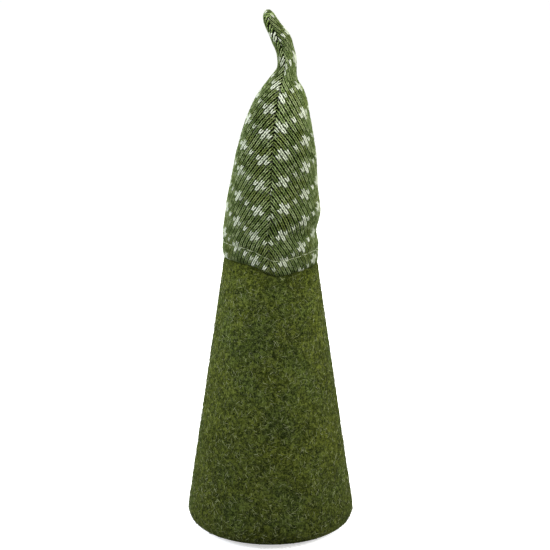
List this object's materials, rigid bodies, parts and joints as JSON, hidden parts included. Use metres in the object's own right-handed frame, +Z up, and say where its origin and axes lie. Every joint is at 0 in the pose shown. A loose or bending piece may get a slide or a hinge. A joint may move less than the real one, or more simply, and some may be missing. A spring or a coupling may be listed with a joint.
{
  "type": "tomte gnome figurine",
  "caption": "Standing gnome figurine: a weighted felt cone body on a flat base, a long knitted hat with a wired, bendable tip, a round wooden nose and a hanging wool beard.",
  "frame": {"origin": "centre of the base's underside, on the surface it stands on", "axes": "+Z up along the body, -Y towards the side with the nose and beard"},
  "size_m": [0.1302, 0.1302, 0.4011],
  "materials": {
    "felt_green": "matte moss-green wool felt, mottled with lighter fibres",
    "felt_dark": "matte dark green felt",
    "knit_green": "matte green wool yarn, stocking stitch with off-white figures",
    "green_thread": "matte sewing thread",
    "light_thread": "matte light sewing thread",
    "foam": "matte open-cell foam",
    "fibreboard": "pressed fibreboard",
    "cotton_cloth": "unbleached cotton",
    "stone_granules": "fine crushed stone",
    "string": "twisted cotton string",
    "fibre_fill": "loose polyester fibre",
    "steel_wire": "soft annealed wire",
    "birch": "sanded, waxed birch",
    "beech": "sanded beech dowel",
    "beard_cloth": "woven cotton backing",
    "beard_wool": "long natural off-white wool locks"
  },
  "bodies": {
    "root": {"felt_base_disc": "felt_dark", "base_seam_thread": "green_thread", "felt_sleeve": "felt_green", "top_gather_thread": "green_thread", "sleeve_seam_thread": "green_thread", "base_pad": "foam", "base_board": "fibreboard", "weight_bag": "cotton_cloth", "weight_fill": "stone_granules", "bag_tie": "string", "body_stuffing": "fibre_fill", "hat_shell": "knit_green", "hat_hem": "knit_green", "hem_stitch_thread": "light_thread", "hat_stuffing": "fibre_fill", "hat_wire_stem": "steel_wire", "nose_ball": "birch", "nose_peg": "beech", "beard_top_band": "beard_wool", "beard_stitch_thread": "light_thread"},
    "hat_neck": {"hat_neck_tube": "knit_green", "neck_wire": "steel_wire"},
    "hat_middle": {"hat_middle_tube": "knit_green", "middle_wire": "steel_wire"},
    "hat_tip_end": {"hat_tip": "knit_green", "tip_wire": "steel_wire", "tip_gather_thread": "green_thread"},
    "beard": {"beard_backing": "beard_cloth", "beard_pile": "beard_wool"}
  },
  "joints": [
    {"name": "hat_neck_bend", "type": "hinge", "parent": "root", "child": "hat_neck", "pos_m": [-0.0128, 0, 0.352], "axis": [0, 1, 0], "range_deg": [-25, 25]},
    {"name": "hat_middle_bend", "type": "hinge", "parent": "hat_neck", "child": "hat_middle", "pos_m": [-0.0126, 0, 0.3635], "axis": [1, 0, 0], "range_deg": [-30, 30]},
    {"name": "hat_tip_bend", "type": "hinge", "parent": "hat_middle", "child": "hat_tip_end", "pos_m": [-0.01, 0, 0.3768], "axis": [0, 1, 0], "range_deg": [-40, 28]},
    {"name": "beard_swing", "type": "hinge", "parent": "root", "child": "beard", "pos_m": [0, -0.0378, 0.202], "axis": [1, 0, 0], "range_deg": [-40, 0]}
  ]
}
